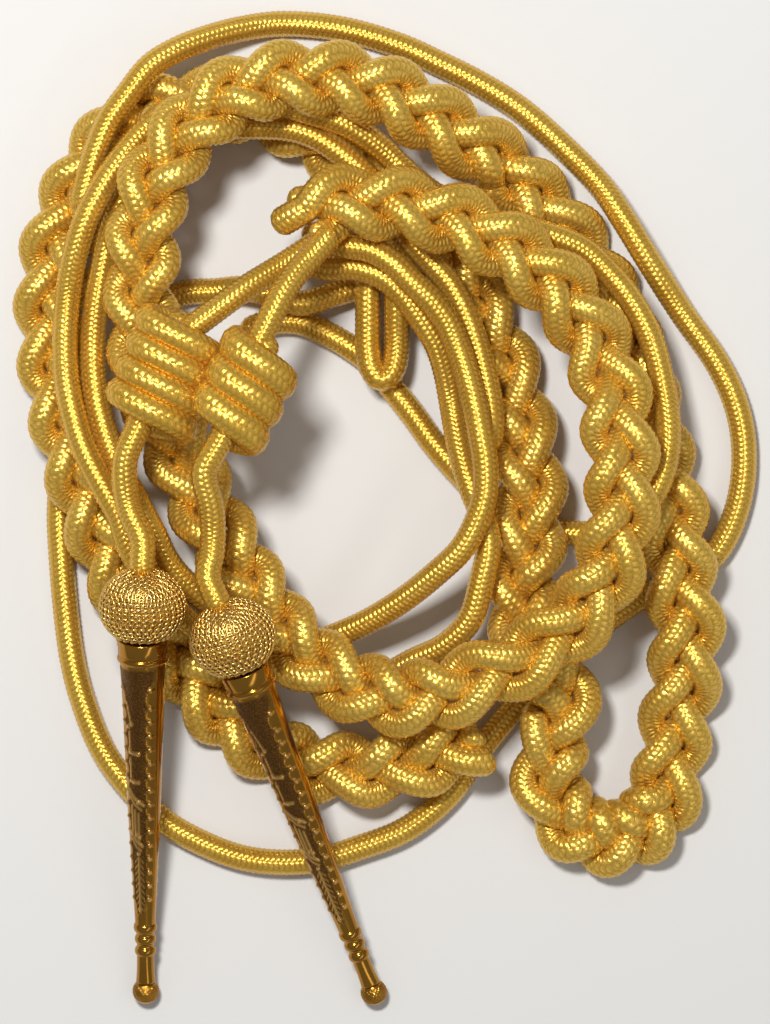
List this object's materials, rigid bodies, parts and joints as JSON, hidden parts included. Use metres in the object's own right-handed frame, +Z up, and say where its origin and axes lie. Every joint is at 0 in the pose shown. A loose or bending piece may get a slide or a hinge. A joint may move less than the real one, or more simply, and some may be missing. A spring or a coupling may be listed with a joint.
{
  "type": "aiguillette",
  "caption": "Ceremonial shoulder cord lying coiled: a gilt three-strand plait and plain looped cords, with wound knots, netted balls and pointed brass tags on its ends.",
  "frame": {"origin": "middle of the coil's bounding box, on the surface it lies on", "axes": "+Y towards the top of the coil, away from the tags; +X to the right seen from above; +Z up"},
  "size_m": [0.18, 0.2404, 0.0504],
  "materials": {
    "plait": "braided gilt wire thread",
    "cord": "braided gilt wire thread",
    "net": "fine gilt wire netting",
    "tag": "gilt and polished, with chased ornament"
  },
  "bodies": {
    "root": {"rear_plait": "plait", "front_plait": "plait", "outer_loop": "cord", "long_loop": "cord", "second_loop": "cord", "inner_cord": "cord", "tie_cord": "cord", "button_loop": "cord", "left_lead": "cord", "right_lead": "cord", "left_drop": "cord", "right_drop": "cord", "left_knot": "cord", "right_knot": "cord", "left_ball": "net", "right_ball": "net", "left_tag": "tag", "right_tag": "tag"}
  },
  "joints": []
}
